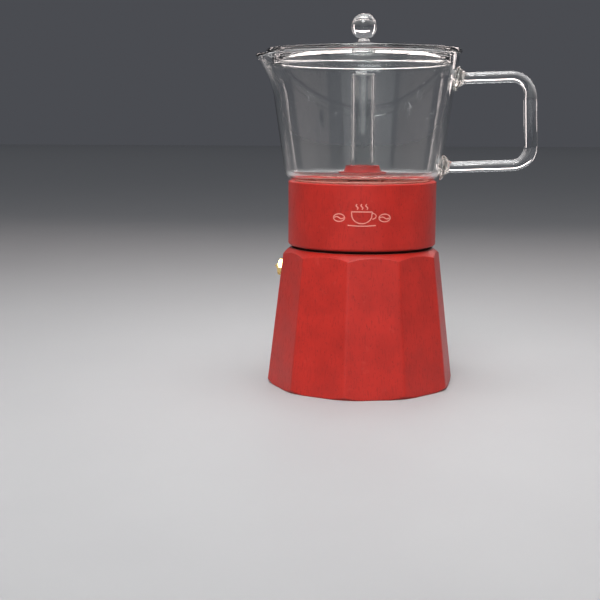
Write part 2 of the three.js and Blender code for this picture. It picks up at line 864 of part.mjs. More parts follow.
function knobGeometry() {
  const centreZ = lidTopZ + knobNeckHeight + knobRadius * 0.9;
  const neckAngle = THREE.MathUtils.radToDeg(Math.asin(knobNeckRadius / knobRadius));
  return revolve(
    [
      v2(0, lidTopZ),
      v2(knobNeckRadius + 0.9, lidTopZ),
      v2(knobNeckRadius, lidTopZ + 1),
      ...arc(0, centreZ, knobRadius, -90 + neckAngle, 82, 7),
      v2(0, centreZ + knobRadius),
    ],
    smallSegments,
  );
}

place("lid", lidGeometry(), clearGlass);
place("lid_knob", knobGeometry(), clearGlass);

export default mokaPot;
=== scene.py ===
# Stovetop moka pot: a faceted red boiler, a screw collar and a clear glass jug with a rod handle.
# The outlines below are in millimetres, and every mesh is scaled to metres as it is made.

import json
import math

import bpy
from mathutils import Matrix, Vector, noise
from mathutils.geometry import delaunay_2d_cdt


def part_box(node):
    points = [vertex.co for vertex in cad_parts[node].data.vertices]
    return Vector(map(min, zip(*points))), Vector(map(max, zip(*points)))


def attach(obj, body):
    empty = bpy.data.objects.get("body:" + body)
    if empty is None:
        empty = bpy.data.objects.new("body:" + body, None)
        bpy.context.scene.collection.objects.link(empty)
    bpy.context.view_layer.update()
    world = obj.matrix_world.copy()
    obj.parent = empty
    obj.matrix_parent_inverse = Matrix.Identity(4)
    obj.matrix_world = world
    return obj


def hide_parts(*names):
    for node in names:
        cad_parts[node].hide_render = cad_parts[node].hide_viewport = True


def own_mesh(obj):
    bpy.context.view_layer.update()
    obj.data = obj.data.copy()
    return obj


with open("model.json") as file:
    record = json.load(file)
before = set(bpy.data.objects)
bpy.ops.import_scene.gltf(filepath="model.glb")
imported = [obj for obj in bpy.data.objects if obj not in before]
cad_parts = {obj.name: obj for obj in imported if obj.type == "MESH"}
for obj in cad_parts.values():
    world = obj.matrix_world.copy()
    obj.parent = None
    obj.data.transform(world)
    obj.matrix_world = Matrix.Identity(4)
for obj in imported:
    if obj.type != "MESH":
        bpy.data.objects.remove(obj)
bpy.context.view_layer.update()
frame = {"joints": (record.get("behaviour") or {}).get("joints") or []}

# ---------------------------------------------------------------- boiler
# One aluminium casting with ten flat sides, turned on a lathe at the foot, the shoulder and the
# threaded neck. The outside has a baked red lacquer. The neck, the inside and the underside are bare.

mm = 0.001


def corners(node):
    """Lowest and highest corner of a frame node, in millimetres."""
    return [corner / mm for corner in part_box(node)]


def softened(outline, closed=False, steps=4):
    """The outline with each corner turned into an arc. Its points are (radius, height, rounding)."""
    path = []
    for i, (radius, height, *rounding) in enumerate(outline):
        corner = Vector((radius, height))
        if not rounding or (not closed and i in (0, len(outline) - 1)):
            path.append(corner)
            continue
        back = Vector(outline[i - 1][:2]) - corner
        ahead = Vector(outline[(i + 1) % len(outline)][:2]) - corner
        half = max(back.angle(ahead) / 2, 0.02)
        reach = min(rounding[0] / math.tan(half), 0.48 * back.length, 0.48 * ahead.length)
        start = corner + back.normalized() * reach
        end = corner + ahead.normalized() * reach
        if math.pi / 2 - half < 0.01:
            path += [start.lerp(end, k / steps) for k in range(steps + 1)]
            continue
        centre = corner + (back.normalized() + ahead.normalized()).normalized() * reach / math.cos(half)
        spoke = start - centre
        sweep = -spoke.angle_signed(end - centre)
        for k in range(steps + 1):
            path.append(centre + Matrix.Rotation(sweep * k / steps, 2) @ spoke)
    return path


def skin(name, rings, closed=False, caps=False):
    """A mesh through rings of points, in millimetres. A ring of one point is a pole."""
    starts = []
    verts = []
    for ring in rings:
        starts.append(len(verts))
        verts += [point * mm for point in ring]
    faces = []
    last = len(rings) if closed else len(rings) - 1
    for i in range(last):
        a, b = rings[i], rings[(i + 1) % len(rings)]
        first, second = starts[i], starts[(i + 1) % len(rings)]
        sides = max(len(a), len(b))
        for j in range(sides):
            k = (j + 1) % sides
            face = [first + j % len(a), first + k % len(a), second + k % len(b), second + j % len(b)]
            faces.append(list(dict.fromkeys(face)))
    if caps:
        faces.append(list(range(starts[0], starts[0] + len(rings[0]))))
        faces.append(list(range(starts[-1], starts[-1] + len(rings[-1]))))
    return smooth_mesh(name, verts, faces)


def smooth_mesh(name, verts, faces):
    """A smooth-shaded object whose faces point outwards and whose flat faces stay flat."""
    mesh = bpy.data.meshes.new(name)
    mesh.from_pydata(verts, [], faces)
    mesh.validate()
    made = bpy.data.objects.new(name, mesh)
    bpy.context.collection.objects.link(made)
    if volume(mesh) < 0:
        mesh.flip_normals()
    mesh.shade_smooth()
    made.modifiers.new("flat faces", "WEIGHTED_NORMAL").keep_sharp = True
    return made


def volume(mesh):
    """Six times the signed volume inside a closed mesh."""
    total = 0
    for face in mesh.polygons:
        points = [mesh.vertices[v].co for v in face.vertices]
        for second, third in zip(points[1:], points[2:]):
            total += points[0].dot(second.cross(third))
    return total


even_turn = [math.tau * i / 160 for i in range(160)]


def turned(name, outline, turn=even_turn, closed=False):
    """A solid turned about Z. The outline is a list of points, or a function that gives one at an angle."""
    columns = [outline(angle) if callable(outline) else outline for angle in turn]
    rings = []
    for row in range(len(columns[0])):
        ring = []
        for angle, column in zip(turn, columns):
            radius, height = column[row]
            ring.append(Vector((radius * math.cos(angle), radius * math.sin(angle), height)))
        rings.append(ring[:1] if columns[0][row][0] == 0 else ring)
    return skin(name, rings, closed)


def polygon(angle, sides, rounding):
    """How far out a polygon with unit corners reaches at that angle from a corner, edges rounded off."""
    half = math.pi / sides
    off = abs((angle + half) % (2 * half) - half)
    centre = 1 - rounding / math.cos(half)
    if off < math.atan2(rounding * math.sin(half), centre + rounding * math.cos(half)):
        return centre * math.cos(off) + math.sqrt(rounding**2 - (centre * math.sin(off)) ** 2)
    return math.cos(half) / math.cos(half - off)


def faceted_turn(sides, first_corner, edge):
    """Angles for a faceted piece: close together over each rounded edge, and even over each flat."""
    turn = []
    for side in range(sides):
        corner = first_corner + math.tau * side / sides
        turn += [corner + edge * (k / 4) for k in range(-4, 4)]
        flat = math.tau / sides - 2 * edge
        turn += [corner + edge + flat * k / 12 for k in range(12)]
    return turn


def limited(value):
    """The value, kept between 0 and 1."""
    return max(0.0, min(1.0, value))


def ridge(angle, height, start, turns, pitch, root, crest):
    """How much of a right-hand screw ridge stands at a place: 1 on its crest, 0 beside it."""
    turn = (angle % math.tau) / math.tau
    along = round((height - start) / pitch - turn) + turn
    off = abs(height - start - pitch * along)
    flank = limited((root - 2 * off) / (root - crest))
    return flank * limited(min(along, turns - along) * 12)


boiler_high = corners("boiler")[1]
collar_low, collar_high = corners("collar")
seal_low, seal_high = corners("jug_seal")
collar_radius = collar_high.x
collar_top = seal_low.z
rim = boiler_high.z
neck_height = 11.8
shoulder = rim - neck_height
boiler_sides = 10
boiler_first_corner = math.radians(9)
boiler_edge = 0.07
foot_radius = 50.2
shoulder_radius = collar_radius + 2.6
boiler_slope = (foot_radius - shoulder_radius) / shoulder
foot_cone = foot_radius - 2.2
foot_ring = 9
foot_recess = 0.6
bevel_inner = collar_radius - 1.5
bevel_drop = 0.78
neck_root = 33.4
neck_bore = 31
thread_pitch = 3.2
thread_depth = 1.4
thread_turns = 1.3
thread_root = 1.5
thread_crest = 0.7
thread_start = rim - 2.5 - thread_root / 2 - thread_pitch * thread_turns
boiler_wall = 3.3
boiler_floor = 3.6
cavity_round = 7
flat_share = math.cos(math.pi / boiler_sides)


def boiler_corner(height):
    return foot_radius - boiler_slope * height


def boiler_outline(angle):
    share = polygon(angle - boiler_first_corner, boiler_sides, boiler_edge)
    foot = max(0.4, (share * foot_radius - foot_cone) / (1 + share * boiler_slope))
    foot_out = share * boiler_corner(foot)
    lean = share * boiler_slope * bevel_drop
    bevel_out = (share * shoulder_radius - lean * bevel_inner) / (1 - lean)
    bevel_foot = shoulder - bevel_drop * (bevel_out - bevel_inner)
    outside = softened(
        [
            (0, foot_recess),
            (foot_cone - foot_ring, foot_recess, 1),
            (foot_cone - foot_ring + foot_recess, 0, 0.3),
            (foot_out - foot, 0, 0.3),
            (foot_out, foot, 0.6),
            (bevel_out, bevel_foot, 0.7),
            (bevel_inner, shoulder, 0.8),
            (neck_root, shoulder, 0.4),
            (neck_root, shoulder + 1),
        ]
    )
    neck = []
    rows = 56
    for row in range(rows + 1):
        height = shoulder + 1.2 + (neck_height - 2) * row / rows
        stands = ridge(
            angle, height, thread_start, thread_turns, thread_pitch, thread_root, thread_crest
        )
        neck.append(Vector((neck_root + thread_depth * stands, height)))
    cavity_top = shoulder - 2 * boiler_wall
    inside = softened(
        [
            (neck_root, rim - 0.7),
            (neck_root, rim, 0.4),
            (neck_bore, rim, 0.4),
            (neck_bore, shoulder - 1, 1.5),
            (flat_share * boiler_corner(cavity_top) - boiler_wall, cavity_top, 3),
            (flat_share * boiler_corner(boiler_floor) - boiler_wall, boiler_floor, cavity_round),
            (0, boiler_floor),
        ]
    )
    return outside + neck + inside


class Value:
    """One output of a shader node. Arithmetic on it adds Math nodes to the same finish."""

    def __init__(self, finish, socket):
        self.finish = finish
        self.socket = socket

    def math(self, operation, first, second):
        return self.finish.node("ShaderNodeMath", {"operation": operation}, {0: first, 1: second})

    def __add__(self, other):
        return self.math("ADD", self, other)

    __radd__ = __add__

    def __sub__(self, other):
        return self.math("SUBTRACT", self, other)

    def __rsub__(self, other):
        return self.math("SUBTRACT", other, self)

    def __mul__(self, other):
        return self.math("MULTIPLY", self, other)

    __rmul__ = __mul__


class Finish:
    """One material, built up node by node."""

    def __init__(self, name):
        self.material = bpy.data.materials.new(name)
        self.material.use_nodes = True
        self.tree = self.material.node_tree
        self.tree.nodes.clear()
        self.place = self.node("ShaderNodeTexCoord", output="Object")

    def node(self, kind, settings=None, sockets=None, output=0):
        """Adds any shader node: first its settings, then the values or links of its sockets."""
        made = self.tree.nodes.new(kind)
        for key, value in (settings or {}).items():
            setattr(made, key, value)
        for key, value in (sockets or {}).items():
            if isinstance(value, Value):
                self.tree.links.new(value.socket, made.inputs[key])
            else:
                made.inputs[key].default_value = value
        return Value(self, made.outputs[output]) if made.outputs else None

    def cloud(self, size, detail=2.0, stretch=(1, 1, 1), spot=None):
        """Noise from 0 to 1 with patches about that many millimetres across, drawn out along X, Y and Z."""
        step = [size * mm * part for part in stretch]
        grid = {"operation": "DIVIDE"}
        spot = self.node("ShaderNodeVectorMath", grid, {0: spot or self.place, 1: step})
        return self.node("ShaderNodeTexNoise", {}, {"Vector": spot, "Scale": 1, "Detail": detail})

    def between(self, value, low, high):
        """0 below low, 1 above high, and a soft step between."""
        ends = {"Value": value, "From Min": low, "From Max": high}
        return self.node("ShaderNodeMapRange", {"interpolation_type": "SMOOTHSTEP"}, ends)

    def blend(self, share, first, second):
        """The first colour where share is 0 and the second where it is 1."""
        return self.node("ShaderNodeMix", {"data_type": "RGBA"}, {0: share, 6: first, 7: second}, 2)

    def lathe_place(self):
        """Where a point lies on a turned piece: its distance from the axis, and its height."""
        flat = self.node("ShaderNodeVectorMath", {"operation": "MULTIPLY"}, {0: self.place, 1: (1, 1, 0)})
        radius = self.node("ShaderNodeVectorMath", {"operation": "LENGTH"}, {0: flat}, "Value")
        height = self.node("ShaderNodeSeparateXYZ", {}, {0: self.place}, "Z")
        return self.node("ShaderNodeCombineXYZ", {}, {0: radius, 1: 0.0, 2: height})

    def bump(self, height, depth):
        """A normal that raises the surface by up to that many millimetres."""
        return self.node("ShaderNodeBump", {}, {"Height": height, "Distance": depth * mm})

    def surface(self, **sockets):
        """The Principled shader of this finish. A socket's name is written with underscores."""
        named = {key.replace("_", " "): value for key, value in sockets.items()}
        return self.node("ShaderNodeBsdfPrincipled", {}, named)

    def done(self, shader=None, **sockets):
        """The finished material. Its shader is the Principled one with these sockets, or the given one."""
        self.node("ShaderNodeOutputMaterial", {}, {"Surface": shader or self.surface(**sockets)})
        return self.material


def red_lacquer(name, tone, shine=0.36):
    """Satin red lacquer baked on cast metal: faintly mottled, pitted, with short runs and orange peel."""
    coat = Finish(name)
    patches = coat.between(coat.cloud(12, detail=4), 0.3, 0.7)
    runs = coat.between(coat.cloud(0.7, detail=3, stretch=(1, 1, 6)), 0.52, 0.7)
    pits = coat.between(coat.cloud(0.8, detail=2, stretch=(1, 1, 1.8)), 0.64, 0.74)
    rubbed = coat.between(coat.cloud(4, detail=5), 0.62, 0.8)
    colour = coat.blend(patches, [part * 0.9 for part in tone] + [1], [part * 1.09 for part in tone] + [1])
    colour = coat.blend(runs * 0.42, colour, [part * 0.55 for part in tone] + [1])
    colour = coat.blend(pits * 0.65, colour, [part * 0.35 for part in tone] + [1])
    colour = coat.blend(rubbed * 0.1, colour, [0.62, 0.16, 0.13, 1])
    peel = coat.cloud(0.8, detail=2) * 0.45 + coat.cloud(2.6, detail=2) * 0.55 - pits * 0.6 - runs * 0.3
    return coat.done(
        Base_Color=colour,
        Roughness=0.42 + patches * 0.05 + runs * 0.1 - rubbed * 0.06,
        Specular_IOR_Level=shine,
        Coat_Weight=shine / 4,
        Coat_Roughness=0.12,
        Normal=coat.bump(peel, 0.016),
    )


def bare_aluminium(name):
    """Turned aluminium: fine rings round the axis, dulled in patches by water and washing."""
    metal = Finish(name)
    rings = metal.cloud(0.35, detail=3, spot=metal.lathe_place())
    dull = metal.between(metal.cloud(9, detail=5), 0.4, 0.7)
    spots = metal.between(metal.cloud(1.6, detail=2), 0.66, 0.74)
    colour = metal.blend(dull, [0.74, 0.74, 0.75, 1], [0.55, 0.55, 0.56, 1])
    colour = metal.blend(spots * 0.5, colour, [0.42, 0.42, 0.43, 1])
    return metal.done(
        Base_Color=colour,
        Metallic=1.0,
        Roughness=0.26 + dull * 0.16 + rings * 0.1 + spots * 0.1,
        Normal=metal.bump(rings, 0.02),
    )


def painted_gap_shade():
    """Lacquer in the narrow gaps over the shoulder and under the collar, dulled and painted dark as painted
    shade, so that the gaps look black.
    """
    shade_paint = Finish("painted_gap_shade")
    patches = shade_paint.cloud(3, detail=4)
    return shade_paint.done(
        Base_Color=shade_paint.blend(patches, [0.06, 0.01, 0.008, 1], [0.12, 0.017, 0.012, 1]),
        Roughness=0.6 + patches * 0.2,
        Normal=shade_paint.bump(patches, 0.05),
    )


def wear(piece, finish):
    """Covers a piece with a finish."""
    piece.data.materials.append(finish)
    return piece


def repaint(piece, finish, where):
    """Gives one more finish to the faces whose centre, in millimetres, passes the test."""
    piece.data.materials.append(finish)
    for face in piece.data.polygons:
        if where(face.center / mm):
            face.material_index = len(piece.data.materials) - 1


lacquer = red_lacquer("red_lacquer", (0.44, 0.0165, 0.0095))
aluminium = bare_aluminium("bare_aluminium")
gap_shade = painted_gap_shade()


def boiler_is_bare(spot):
    radius = math.hypot(spot.x, spot.y)
    neck = spot.z > shoulder + 0.15 and radius < neck_root + thread_depth + 0.1
    inside = spot.z > 2 and radius < flat_share * boiler_corner(spot.z) - 2
    return neck or inside or spot.z < foot_recess + 0.05 and radius < foot_cone - 4


# Painted shade: the shoulder's flat round the neck, inside the gap under the collar, gets the dark lacquer.
def boiler_in_painted_shade(spot):
    radius = math.hypot(spot.x, spot.y)
    return neck_bore + 1 < radius < bevel_inner - 0.8 and shoulder - 0.1 < spot.z < shoulder + 2.2


boiler_turn = faceted_turn(boiler_sides, boiler_first_corner, math.radians(1.1))
boiler = wear(turned("boiler_casting", boiler_outline, boiler_turn), lacquer)
repaint(boiler, aluminium, boiler_is_bare)
repaint(boiler, gap_shade, boiler_in_painted_shade)
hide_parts("boiler")
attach(boiler, "boiler")

# ---------------------------------------------------------------- safety valve
# A brass relief valve screwed square into one facet: a hexagon on a threaded shank, with a washer
# under it. A coil inside holds the pin on its seat, and a pressed bush keeps the coil in.

valve_joint = next(j for j in frame["joints"] if j["name"] == "valve_out")
valve_axis = Vector(valve_joint["axis"])
valve_travel = valve_joint["range_m"][1] / mm
washer_low, washer_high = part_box("valve_washer")
valve_gap = 0.3
washer_thickness = 0.8
hex_width = 8.6
hex_height = 3
hex_bottom = valve_gap + washer_thickness
hex_top = hex_bottom + hex_height
hex_corner = hex_width / 2 / math.cos(math.pi / 6)
shank_radius = 2.9
shank_bottom = -7.3
seat_top = shank_bottom + 1.4
seat_radius = 0.9
valve_bore = 1.9
cap_bottom = hex_top - 1
cap_top = hex_top + 1.2
pin_radius = 0.6
pin_top = cap_top + 0.8
head_bottom = seat_top + 0.15
head_top = head_bottom + 1.2
head_radius = 1.5
pin_play = 0.15
bush_play = 0.12
bush_top_radius = valve_bore - 0.35
grooves = 9
groove_pitch = 0.8
groove_depth = 0.35
spring_wire = 0.22
spring_play = 0.05
spring_turns = 7

washer_middle = (washer_low + washer_high) / 2
facet_point = washer_middle - valve_axis * (valve_gap + washer_thickness / 2) * mm
valve_place = Matrix.Translation(facet_point) @ valve_axis.to_track_quat("Z", "Y").to_matrix().to_4x4()


def on_valve(piece, body, node):
    """Screws a piece made about its own axis into the facet, and hands it to its body."""
    piece.matrix_world = valve_place
    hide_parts(node)
    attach(piece, body)


def polished_brass():
    metal = Finish("polished_brass")
    rings = metal.cloud(0.3, detail=3, spot=metal.lathe_place())
    tarnish = metal.between(metal.cloud(1.8, detail=4), 0.45, 0.72)
    return metal.done(
        Base_Color=metal.blend(tarnish, [0.9, 0.66, 0.27, 1], [0.68, 0.45, 0.16, 1]),
        Metallic=1.0,
        Roughness=0.16 + tarnish * 0.16 + rings * 0.08,
        Normal=metal.bump(rings, 0.012),
    )


def soft_seal(name, pale, deep, clear):
    """Moulded silicone or pressed fibre: matt, faintly mottled, with a little light passing through."""
    rubber = Finish(name)
    cloudy = rubber.between(rubber.cloud(3, detail=4), 0.35, 0.7)
    grain = rubber.cloud(0.25, detail=2)
    return rubber.done(
        Base_Color=rubber.blend(cloudy, pale, deep),
        Roughness=0.42 + cloudy * 0.16,
        Transmission_Weight=clear,
        IOR=1.41,
        Normal=rubber.bump(grain, 0.01),
    )


def spring_steel():
    metal = Finish("spring_steel")
    drawn = metal.cloud(0.5, detail=3)
    return metal.done(
        Base_Color=metal.blend(drawn, [0.5, 0.5, 0.5, 1], [0.66, 0.65, 0.63, 1]),
        Metallic=1.0,
        Roughness=0.22 + drawn * 0.2,
    )


brass = polished_brass()
sealing_fibre = soft_seal("sealing_fibre", [0.2, 0.07, 0.05, 1], [0.13, 0.045, 0.035, 1], 0.0)
spring_wire_steel = spring_steel()


def valve_body_outline(angle):
    flat = hex_corner * polygon(angle, 6, 0.05)
    chamfer_inner = hex_corner - 0.8
    chamfer_foot = hex_top - max(0, flat - chamfer_inner) * 0.66
    shank = [(seat_radius, shank_bottom, 0.1), (shank_radius - 0.5, shank_bottom, 0.2)]
    for groove in range(grooves):
        height = shank_bottom + 0.6 + groove * groove_pitch
        shank += [(shank_radius - groove_depth, height), (shank_radius, height + groove_pitch / 2)]
    head = [
        (shank_radius - 0.3, hex_bottom, 0.1),
        (flat - 0.25, hex_bottom, 0.15),
        (flat, hex_bottom + 0.3, 0.15),
        (flat, min(chamfer_foot, hex_top - 0.15), 0.15),
        (chamfer_inner - 0.1, hex_top, 0.2),
        (valve_bore + 0.2, hex_top, 0.1),
        (valve_bore, hex_top - 0.2, 0.1),
        (valve_bore, seat_top),
        (seat_radius, seat_top),
    ]
    return softened(shank + head, closed=True, steps=3)


hex_turn = faceted_turn(6, 0, math.radians(1.5))
valve_body = wear(turned("valve_hexagon", valve_body_outline, hex_turn, closed=True), brass)
on_valve(valve_body, "boiler", "valve_body")

washer_inner = shank_radius + 0.15
washer_outer = hex_width / 2 - 0.15
washer_outline = softened(
    [
        (washer_inner, valve_gap, 0.15),
        (washer_outer, valve_gap, 0.3),
        (washer_outer, hex_bottom, 0.3),
        (washer_inner, hex_bottom, 0.15),
    ],
    closed=True,
)
on_valve(
    wear(turned("valve_sealing_washer", washer_outline, closed=True), sealing_fibre),
    "boiler",
    "valve_washer",
)

cap_outline = softened(
    [
        (pin_radius + pin_play, cap_bottom, 0.1),
        (valve_bore - bush_play, cap_bottom, 0.1),
        (valve_bore - bush_play, hex_top + 0.1, 0.1),
        (bush_top_radius, hex_top + 0.25, 0.1),
        (bush_top_radius, cap_top, 0.35),
        (pin_radius + pin_play, cap_top, 0.15),
    ],
    closed=True,
)
on_valve(wear(turned("valve_bush", cap_outline, closed=True), brass), "boiler", "valve_cap")

pin_outline = softened(
    [
        (0, head_bottom),
        (seat_radius, head_bottom, 0.2),
        (head_radius, head_bottom + 0.6, 0.15),
        (head_radius, head_top, 0.15),
        (pin_radius, head_top, 0.1),
        (pin_radius, pin_top, 0.4),
        (0, pin_top),
    ]
)
on_valve(wear(turned("relief_pin", pin_outline), brass), "valve_pin", "valve_pin")


def wire_coil(name, radius, wire, low, high, turns):
    """A round wire wound into a coil, with its ends laid nearly flat."""
    rings = []
    steps = turns * 28
    for step in range(steps + 1):
        share = step / steps
        climb = limited((share - 0.1) / 0.8) * 0.84 + 0.16 * share
        angle = math.tau * turns * share
        outward = Vector((math.cos(angle), math.sin(angle), 0))
        middle = outward * radius + Vector((0, 0, low + (high - low) * limited(climb)))
        rings.append(
            [
                middle + (outward * math.cos(a) + Vector((0, 0, math.sin(a)))) * wire
                for a in (math.tau * k / 10 for k in range(10))
            ]
        )
    return skin(name, rings, caps=True)


coil_low = head_top + spring_wire + spring_play
coil_high = cap_bottom - spring_wire - spring_play
coil_radius = (pin_radius + valve_bore) / 2
coil = wire_coil("relief_coil", coil_radius, spring_wire, coil_low, coil_high, spring_turns)
on_valve(wear(coil, spring_wire_steel), "boiler", "valve_spring")
coil_room = cap_bottom - head_top
coil_end = valve_place @ Vector((0, 0, cap_bottom * mm))
1 - valve_travel / coil_room
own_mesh(coil)

# ---------------------------------------------------------------- funnel and basket sieve
# Spun from one aluminium sheet: a flange on the neck's rim, the basket for the coffee, a cone and
# the stem that the water climbs. A drilled disc lies on the ledge at the basket's foot.

funnel_low, funnel_high = corners("funnel")
sieve_low, sieve_high = corners("funnel_sieve")
flange_top = funnel_high.z
flange_radius = neck_root - 0.5
sheet = 0.9
basket_outer = neck_bore - 0.5
basket_inner = basket_outer - sheet
basket_floor = sieve_low.z
ledge_radius = basket_inner - 2.4
cone_foot = basket_floor - 10
stem_radius = 5.2
stem_bore = stem_radius - sheet
stem_foot = funnel_low.z

funnel_outline = softened(
    [
        (basket_outer, rim, 0.3),
        (flange_radius, rim, 0.4),
        (flange_radius, flange_top, 0.4),
        (basket_inner, flange_top, 0.8),
        (basket_inner, basket_floor, 0.5),
        (ledge_radius, basket_floor, 0.6),
        (stem_bore, cone_foot, 3),
        (stem_bore, stem_foot, 0.2),
        (stem_radius, stem_foot, 0.2),
        (stem_radius, cone_foot - sheet, 3),
        (ledge_radius, basket_floor - sheet, 0.8),
        (basket_outer, basket_floor - sheet, 1),
    ],
    closed=True,
    steps=5,
)
funnel = wear(turned("spun_funnel", funnel_outline, closed=True), aluminium)
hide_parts("funnel")
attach(funnel, "funnel")


def drilled_disc(name, radius, low, high, hole, pitch, drilled_radius):
    """A flat round plate with small holes on a triangular grid."""
    circle = [math.tau * k / 96 for k in range(96)]
    outline = [Vector((radius * math.cos(a), radius * math.sin(a))) for a in circle]
    points = list(outline)
    edges = [(k, (k + 1) % len(outline)) for k in range(len(outline))]
    loops = [list(range(len(outline)))]
    rows = math.ceil(drilled_radius / pitch) + 1
    centres = []
    for row in range(-rows, rows + 1):
        for column in range(-rows, rows + 1):
            centre = Vector((pitch * (column + (row % 2) / 2), pitch * row * math.sqrt(3) / 2))
            if centre.length <= drilled_radius:
                centres.append(centre)
    for centre in centres:
        first = len(points)
        sides = 12
        for k in range(sides):
            a = math.tau * k / sides
            points.append(centre + hole * Vector((math.cos(a), math.sin(a))))
            edges.append((first + k, first + (k + 1) % sides))
        loops.append(list(range(first, first + sides)))
    flat, _, triangles, *_ = delaunay_2d_cdt(points, edges, [], 1, 1e-5)
    kept = []
    for triangle in triangles:
        middle = sum((flat[v] for v in triangle), Vector((0, 0))) / 3
        nearest = min((middle - centre).length for centre in centres)
        if nearest > hole * 0.97:
            kept.append(list(triangle))
    count = len(flat)
    verts = [Vector((p.x, p.y, high)) * mm for p in flat] + [Vector((p.x, p.y, low)) * mm for p in flat]
    faces = kept + [[v + count for v in reversed(face)] for face in kept]
    for loop in loops:
        for k, v in enumerate(loop):
            after = loop[(k + 1) % len(loop)]
            faces.append([v, v + count, after + count, after])
    made = smooth_mesh(name, verts, faces)
    made.data.shade_flat()
    return made


sieve = drilled_disc(
    "basket_sieve",
    basket_inner - 0.25,
    sieve_low.z,
    sieve_high.z,
    hole=0.45,
    pitch=2.1,
    drilled_radius=basket_inner - 3.4,
)
wear(sieve, aluminium)
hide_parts("funnel_sieve")
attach(sieve, "funnel")

# ---------------------------------------------------------------- gasket and filter plate
# A white silicone ring seals the neck against the collar's ledge. It also holds the filter plate,
# a dished aluminium disc with fine holes that keeps the grounds out of the coffee.

gasket_low, gasket_high = corners("gasket")
plate_low, plate_high = corners("filter_plate")
gasket_outer = gasket_high.x
gasket_width = 6.6
gasket_inner = gasket_outer - gasket_width
plate_radius = plate_high.x
plate_sheet = 0.7
plate_bend = gasket_inner - 0.4
plate_seam = plate_bend - 3
step_height = gasket_high.z - plate_sheet - 0.1

gasket_outline = softened(
    [
        (gasket_inner, gasket_low.z, 0.5),
        (gasket_outer, gasket_low.z, 0.7),
        (gasket_outer, gasket_high.z, 0.7),
        (plate_radius + 0.3, gasket_high.z, 0.15),
        (plate_radius + 0.3, step_height, 0.1),
        (gasket_inner, step_height, 0.4),
    ],
    closed=True,
)
white_silicone = soft_seal("white_silicone", [0.8, 0.78, 0.73, 1], [0.7, 0.67, 0.6, 1], 0.0)
gasket = wear(turned("gasket_ring", gasket_outline, closed=True), white_silicone)
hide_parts("gasket")
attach(gasket, "strainer")

plate_rim_outline = softened(
    [
        (plate_seam, plate_low.z, 0.05),
        (plate_bend - plate_sheet, plate_low.z, 0.8),
        (plate_bend, plate_high.z - plate_sheet, 0.5),
        (plate_radius, plate_high.z - plate_sheet, 0.2),
        (plate_radius, plate_high.z, 0.2),
        (plate_bend - plate_sheet, plate_high.z, 0.8),
        (plate_bend - 2 * plate_sheet, plate_low.z + plate_sheet, 0.5),
        (plate_seam, plate_low.z + plate_sheet, 0.05),
    ],
    closed=True,
)
plate_rim = wear(turned("filter_plate_rim", plate_rim_outline, closed=True), aluminium)
plate_disc = drilled_disc(
    "filter_plate_disc",
    plate_seam + 0.1,
    plate_low.z,
    plate_low.z + plate_sheet,
    hole=0.35,
    pitch=1.9,
    drilled_radius=plate_seam - 1,
)
wear(plate_disc, aluminium)
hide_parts("filter_plate")
for piece in (plate_rim, plate_disc):
    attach(piece, "strainer")

# ---------------------------------------------------------------- collar
# The round casting that screws down over the boiler's neck. It is lacquered outside and bare inside.
# A hub under its flat top carries the glass column, and a spigot stands up from it for the clamp nut.

collar_bore = neck_root + thread_depth + 0.5
collar_bottom = collar_low.z
ledge = gasket_high.z
chamber_radius = collar_bore - 7.3
chamber_top = collar_top - 3.5
column_radius = 6.3
column_bore = column_radius - 1.8
column_seat_radius = column_radius + 0.3
column_bottom = corners("column_tube")[0].z
spigot_radius = column_seat_radius + 1
spigot_top = collar_high.z
hub_radius = 9.6
hub_bottom = column_bottom - 1.9


def collar_outline(angle):
    thread = []
    rows = 66
    low = collar_bottom + 0.9
    high = ledge - 1.5
    for row in range(rows + 1):
        height = high - (high - low) * row / rows
        start = thread_start - thread_pitch / 2
        stands = ridge(angle, height, start, thread_turns, thread_pitch, thread_root, thread_crest)
        thread.append(Vector((collar_bore - (thread_depth + 0.1) * stands, height)))
    shell = softened(
        [
            (collar_bore, collar_bottom + 0.85),
            (collar_bore + 0.9, collar_bottom, 0.3),
            (collar_radius - 0.9, collar_bottom, 0.5),
            (collar_radius, collar_bottom + 0.9, 1.1),
            (collar_radius, collar_top, 0.55),
            (spigot_radius + 0.4, collar_top, 0.2),
            (spigot_radius, collar_top + 0.5, 0.1),
            (spigot_radius, spigot_top, 0.4),
            (column_seat_radius, spigot_top, 0.15),
            (column_seat_radius, column_bottom, 0.2),
            (column_bore + 0.2, column_bottom, 0.2),
            (column_bore + 0.2, hub_bottom, 0.4),
            (hub_radius, hub_bottom, 1),
            (hub_radius, chamber_top - 2, 1),
            (hub_radius + 2, chamber_top, 1.5),
            (chamber_radius, chamber_top, 4.5),
            (chamber_radius, ledge, 0.3),
            (collar_bore, ledge, 0.2),
            (collar_bore, ledge - 1.4),
        ],
        steps=5,
    )
    return shell + thread


def collar_is_bare(spot):
    radius = math.hypot(spot.x, spot.y)
    inside = radius < collar_radius - 2.6 and spot.z < collar_top - 0.3
    return inside or radius < spigot_radius + 0.3


# Painted shade: the collar's underside bevel, over the gap above the shoulder, gets the same dark lacquer.
def collar_in_painted_shade(spot):
    radius = math.hypot(spot.x, spot.y)
    return radius < collar_radius - 0.75 and spot.z < collar_bottom + 2.2


collar = wear(turned("screw_collar", collar_outline, closed=True), lacquer)
repaint(collar, aluminium, collar_is_bare)
repaint(collar, gap_shade, collar_in_painted_shade)
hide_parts("collar")
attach(collar, "upper")

# ---------------------------------------------------------------- printed cup
# A plain cup with three wisps of steam between two beans, screen-printed on the collar's front in
# pale pink ink. Each line of the print is a thin closed skin that follows the collar's curve.

print_height = (collar_bottom + collar_top) / 2 + 1.5
print_line = 0.55
ink_thickness = 0.02


def evenly(path, gap):
    """The path's points again, with about that gap between them."""
    points = []
    for start, end in zip(path, path[1:]):
        pieces = max(1, round((end - start).length / gap))
        points += [start.lerp(end, k / pieces) for k in range(pieces)]
    return points + [path[-1]]


